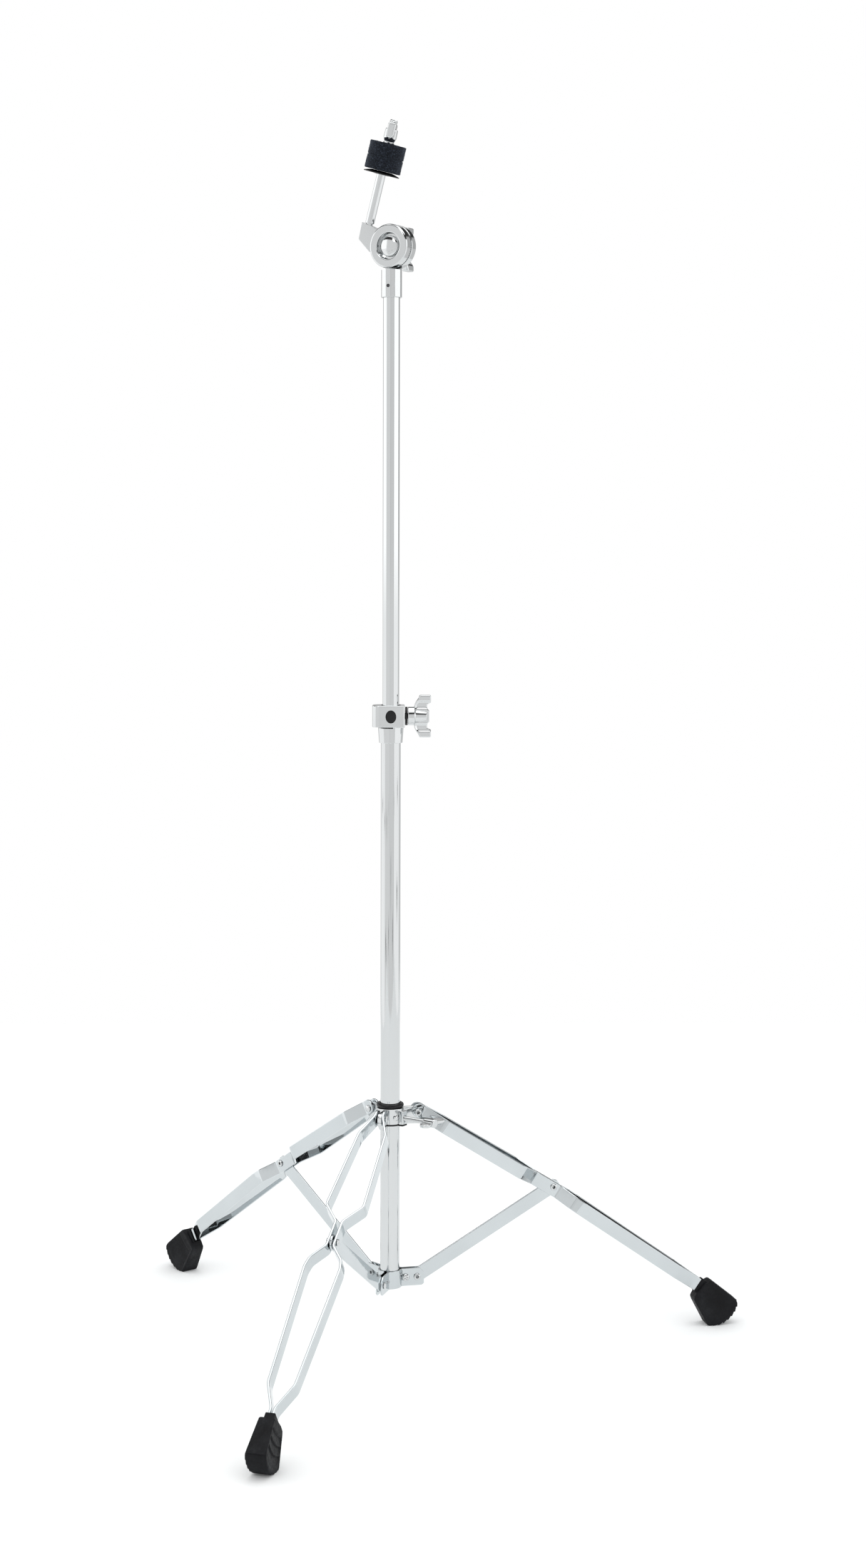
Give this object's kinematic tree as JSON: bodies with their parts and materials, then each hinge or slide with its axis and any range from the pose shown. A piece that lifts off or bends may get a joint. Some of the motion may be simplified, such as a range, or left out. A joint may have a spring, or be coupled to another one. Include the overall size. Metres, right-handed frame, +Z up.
{
  "type": "cymbal stand",
  "caption": "Chromed folding tripod cymbal stand with paired-strip legs, a sliding mast, a toothed tilter, felts and wing nuts.",
  "frame": {"origin": "centre of the bounding box in plan, on the floor under the feet; the mast's axis is at x = -53.7 mm, y = 34.2 mm", "axes": "+Z up along the mast, +X to the right and +Y to the back as seen from the front, where the mast clamp's wing screw is on the right"},
  "size_m": [0.5964, 0.6158, 1.1743],
  "materials": {
    "chrome": "bright chrome plate on steel tube, strip and zinc castings",
    "dark_steel": "dark oiled steel",
    "black_plastic": "smooth black nylon with a soft gloss",
    "foot_rubber": "matte moulded black rubber",
    "felt": "dense pressed wool felt, blue-black and fuzzy"
  },
  "bodies": {
    "base": {"lower_tube": "chrome", "clamp_body": "chrome", "clamp_bushing": "black_plastic", "clamp_washer": "black_plastic", "hub_plate_1": "chrome", "hub_plate_2": "chrome", "hub_plate_3": "chrome", "hub_screw_1": "chrome", "hub_screw_2": "chrome", "hub_screw_3": "chrome", "hub_rivet_1": "chrome", "hub_rivet_2": "chrome", "hub_rivet_3": "chrome"},
    "clamp_screw": {"clamp_wing_screw": "chrome"},
    "glide": {"tube_glide": "black_plastic"},
    "mast": {"upper_tube": "chrome", "tilter_base": "chrome", "socket_pin": "dark_steel", "tilter_bolt": "chrome", "tilter_spring": "dark_steel", "tilter_washer": "chrome"},
    "tilter": {"tilter_arm": "chrome", "cymbal_rod": "chrome", "cymbal_seat": "black_plastic", "cymbal_sleeve": "black_plastic", "lower_felt": "felt"},
    "tilter_nut": {"tilter_wing_nut": "chrome"},
    "top_felt": {"upper_felt": "felt"},
    "cymbal_nut": {"cymbal_wing_nut": "chrome"},
    "brace_1": {"brace_1": "chrome", "mid_rivet_1": "chrome"},
    "brace_2": {"brace_2": "chrome", "mid_rivet_2": "chrome"},
    "brace_3": {"brace_3": "chrome", "mid_rivet_3": "chrome"},
    "leg_1": {"leg_1_strip_left": "chrome", "leg_1_strip_right": "chrome", "foot_1": "foot_rubber"},
    "leg_2": {"leg_2_strip_left": "chrome", "leg_2_strip_right": "chrome", "foot_2": "foot_rubber"},
    "leg_3": {"leg_3_strip_left": "chrome", "leg_3_strip_right": "chrome", "foot_3": "foot_rubber"},
    "collar": {"collar_body": "chrome", "collar_bushing": "black_plastic", "collar_stud": "chrome", "leg_rivet_1": "chrome", "leg_rivet_2": "chrome", "leg_rivet_3": "chrome"},
    "collar_screw": {"collar_wing_screw": "chrome"}
  },
  "joints": [
    {"name": "leg_fold", "type": "hinge", "parent": "base", "child": "brace_1", "pos_m": [-0.02775, 0.03954, 0.069], "axis": [0.2011, -0.9796, 0], "range_deg": [-6, 54]},
    {"name": "brace_2_fold", "type": "hinge", "parent": "base", "child": "brace_2", "pos_m": [-0.0713, 0.05403, 0.069], "axis": [0.7478, 0.6639, 0], "range_deg": [-6, 54]},
    {"name": "brace_3_fold", "type": "hinge", "parent": "base", "child": "brace_3", "pos_m": [-0.06207, 0.00907, 0.069], "axis": [-0.9489, 0.3156, 0], "range_deg": [-6, 54]},
    {"name": "leg_1_knee", "type": "hinge", "parent": "brace_1", "child": "leg_1", "pos_m": [0.10694, 0.06719, 0.151], "axis": [0.2011, -0.9796, 0], "range_deg": [-108, 12]},
    {"name": "leg_2_knee", "type": "hinge", "parent": "brace_2", "child": "leg_2", "pos_m": [-0.16259, 0.15685, 0.151], "axis": [0.7478, 0.6639, 0], "range_deg": [-108, 12]},
    {"name": "leg_3_knee", "type": "hinge", "parent": "brace_3", "child": "leg_3", "pos_m": [-0.10547, -0.1214, 0.151], "axis": [-0.9489, 0.3156, 0], "range_deg": [-108, 12]},
    {"name": "collar_pivot", "type": "hinge", "parent": "leg_1", "child": "collar", "pos_m": [-0.02775, 0.03954, 0.233], "axis": [0.2011, -0.9796, 0], "range_deg": [-6, 54]},
    {"name": "collar_screw_turn", "type": "hinge", "parent": "collar", "child": "collar_screw", "pos_m": [-0.03921, 0.02406, 0.2295], "axis": [0.8192, -0.5736, 0], "continuous": true},
    {"name": "clamp_screw_turn", "type": "hinge", "parent": "base", "child": "clamp_screw", "pos_m": [-0.03741, 0.03421, 0.6185], "axis": [1, 0, 0], "continuous": true},
    {"name": "mast_slide", "type": "slide", "parent": "base", "child": "glide", "axis": [0, 0, 1], "range_m": [-0.375, 0.075]},
    {"name": "mast_turn", "type": "hinge", "parent": "glide", "child": "mast", "pos_m": [-0.05371, 0.03421, 0.47], "axis": [0, 0, 1], "continuous": true},
    {"name": "tilt", "type": "hinge", "parent": "mast", "child": "tilter", "pos_m": [-0.05371, 0.03421, 1.0585], "axis": [-0.5225, -0.8526, 0], "range_deg": [-90, 55]},
    {"name": "tilter_nut_turn", "type": "hinge", "parent": "mast", "child": "tilter_nut", "pos_m": [-0.05371, 0.03421, 1.0585], "axis": [-0.5225, -0.8526, 0], "continuous": true},
    {"name": "top_felt_lift", "type": "slide", "parent": "tilter", "child": "top_felt", "axis": [0.2365, -0.1449, 0.9608], "range_m": [0, 0.045]},
    {"name": "cymbal_nut_turn", "type": "hinge", "parent": "top_felt", "child": "cymbal_nut", "pos_m": [-0.0567, 0.03311, 1.15264], "axis": [0.2365, -0.1449, 0.9608], "continuous": true}
  ],
  "couplings": [
    {"joint": "brace_2_fold", "follows": "leg_fold", "ratio": 1},
    {"joint": "brace_3_fold", "follows": "leg_fold", "ratio": 1},
    {"joint": "leg_1_knee", "follows": "leg_fold", "ratio": -2},
    {"joint": "leg_2_knee", "follows": "leg_fold", "ratio": -2},
    {"joint": "leg_3_knee", "follows": "leg_fold", "ratio": -2},
    {"joint": "collar_pivot", "follows": "leg_fold", "ratio": 1}
  ]
}
